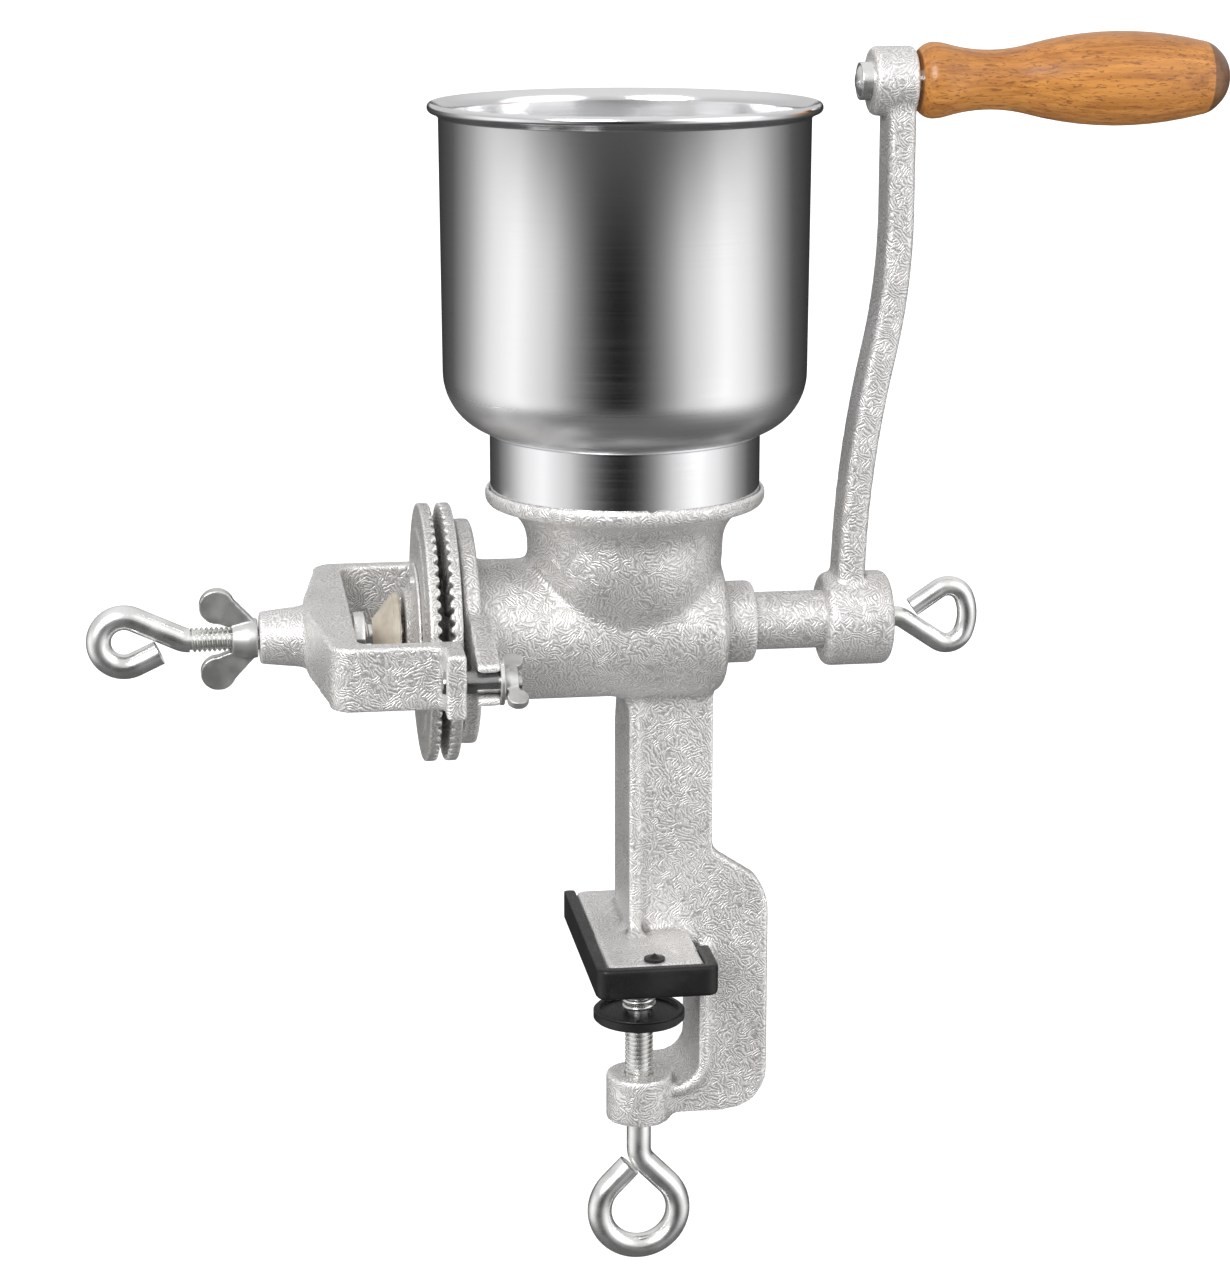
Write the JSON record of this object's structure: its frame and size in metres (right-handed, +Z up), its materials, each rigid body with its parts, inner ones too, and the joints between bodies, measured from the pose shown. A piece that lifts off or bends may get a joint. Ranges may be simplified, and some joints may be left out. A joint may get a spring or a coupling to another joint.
{
  "type": "hand grain mill",
  "caption": "Hand-cranked grain mill with a round steel hopper, feed screw, toothed grinding discs set by an eye bolt in a yoke, a wooden-gripped crank and a C-clamp for a table edge.",
  "frame": {"origin": "underside of the seat pad, on the clamp screw's axis", "axes": "+Z up out of the table, +X along the barrel to the crank's side, +Y away from the viewer"},
  "size_m": [0.4664, 0.172, 0.5203],
  "materials": {
    "tinned_iron": "bright tin over a fine worm-like casting texture",
    "disc_iron": "tinned casting with bare toothed face",
    "stainless_steel": "spun and satin polished",
    "zinc_steel": "bright zinc plate",
    "black_rubber": "matt moulded rubber",
    "cream_nylon": "plain cream nylon",
    "beech": "varnished beech with short dark flecks"
  },
  "bodies": {
    "casting": {"body_casting": "tinned_iron", "seat_pad": "black_rubber", "seat_pad_rivets": "black_rubber", "stationary_disc": "disc_iron", "stationary_disc_screws": "zinc_steel", "yoke": "tinned_iron", "yoke_studs": "zinc_steel"},
    "hopper": {"hopper_bowl": "stainless_steel", "hopper_neck": "stainless_steel"},
    "thrust": {"thrust_cup": "cream_nylon", "thrust_washer": "cream_nylon", "thrust_ball": "zinc_steel"},
    "adjuster": {"adjusting_screw": "zinc_steel", "jam_nut": "zinc_steel"},
    "drive": {"auger": "tinned_iron", "disc_carrier": "tinned_iron", "rotating_disc": "disc_iron", "rotating_disc_screws": "zinc_steel", "crank_arm": "tinned_iron", "grip_axle": "zinc_steel"},
    "crank_washer_body": {"crank_washer": "zinc_steel"},
    "crank_eye": {"crank_eye_screw": "zinc_steel"},
    "handle": {"grip": "beech"},
    "lock_nut": {"lock_wing_nut": "zinc_steel"},
    "front_washer": {"yoke_washer_front": "zinc_steel"},
    "front_nut": {"yoke_wing_nut_front": "zinc_steel"},
    "back_washer": {"yoke_washer_back": "zinc_steel"},
    "back_nut": {"yoke_wing_nut_back": "zinc_steel"},
    "clamp_foot": {"clamp_pad": "black_rubber", "clamp_retaining_ring": "zinc_steel"},
    "clamp_bolt": {"clamp_screw": "zinc_steel"}
  },
  "joints": [
    {"name": "hopper_lift", "type": "slide", "parent": "casting", "child": "hopper", "axis": [0, 0, 1], "range_m": [0, 0.04]},
    {"name": "disc_feed", "type": "slide", "parent": "casting", "child": "thrust", "axis": [1, 0, 0], "range_m": [-0.0012, 0.0028]},
    {"name": "adjusting_turn", "type": "hinge", "parent": "thrust", "child": "adjuster", "pos_m": [-0.16, 0, 0.1437], "axis": [1, 0, 0], "range_deg": [-288.2, 672.4]},
    {"name": "crank_spin", "type": "hinge", "parent": "thrust", "child": "drive", "pos_m": [0, 0, 0.1437], "axis": [1, 0, 0], "continuous": true},
    {"name": "grip_spin", "type": "hinge", "parent": "drive", "child": "handle", "pos_m": [0.18, 0, 0.364], "axis": [1, 0, 0], "continuous": true},
    {"name": "crank_washer_slide", "type": "slide", "parent": "drive", "child": "crank_washer_body", "axis": [1, 0, 0], "range_m": [0, 0.00601]},
    {"name": "crank_eye_turn", "type": "hinge", "parent": "crank_washer_body", "child": "crank_eye", "pos_m": [0.12, 0, 0.1437], "axis": [1, 0, 0], "range_deg": [0, 1728]},
    {"name": "lock_nut_turn", "type": "hinge", "parent": "casting", "child": "lock_nut", "pos_m": [-0.16, 0, 0.1437], "axis": [1, 0, 0], "range_deg": [-360, 0]},
    {"name": "front_washer_slide", "type": "slide", "parent": "casting", "child": "front_washer", "axis": [1, 0, 0], "range_m": [0, 0.00301]},
    {"name": "front_nut_turn", "type": "hinge", "parent": "front_washer", "child": "front_nut", "pos_m": [-0.06, -0.07193, 0.14056], "axis": [1, 0, 0], "range_deg": [0, 720]},
    {"name": "back_washer_slide", "type": "slide", "parent": "casting", "child": "back_washer", "axis": [1, 0, 0], "range_m": [0, 0.00301]},
    {"name": "back_nut_turn", "type": "hinge", "parent": "back_washer", "child": "back_nut", "pos_m": [-0.06, 0.07193, 0.14684], "axis": [1, 0, 0], "range_deg": [0, 720]},
    {"name": "clamp_travel", "type": "slide", "parent": "casting", "child": "clamp_foot", "axis": [0, 0, 1], "range_m": [-0.023, 0.0145]},
    {"name": "clamp_turn", "type": "hinge", "parent": "clamp_foot", "child": "clamp_bolt", "pos_m": [0, 0, -0.06], "axis": [0, 0, 1], "range_deg": [-4726, 2978]}
  ],
  "couplings": [
    {"joint": "adjusting_turn", "follows": "disc_feed", "rad_per_m": 4188.8},
    {"joint": "crank_washer_slide", "follows": "crank_eye_turn", "m_per_rad": 0.00019894},
    {"joint": "front_washer_slide", "follows": "front_nut_turn", "m_per_rad": 0.00023873},
    {"joint": "back_washer_slide", "follows": "back_nut_turn", "m_per_rad": 0.00023873},
    {"joint": "clamp_travel", "follows": "clamp_turn", "m_per_rad": 0.00027852}
  ]
}
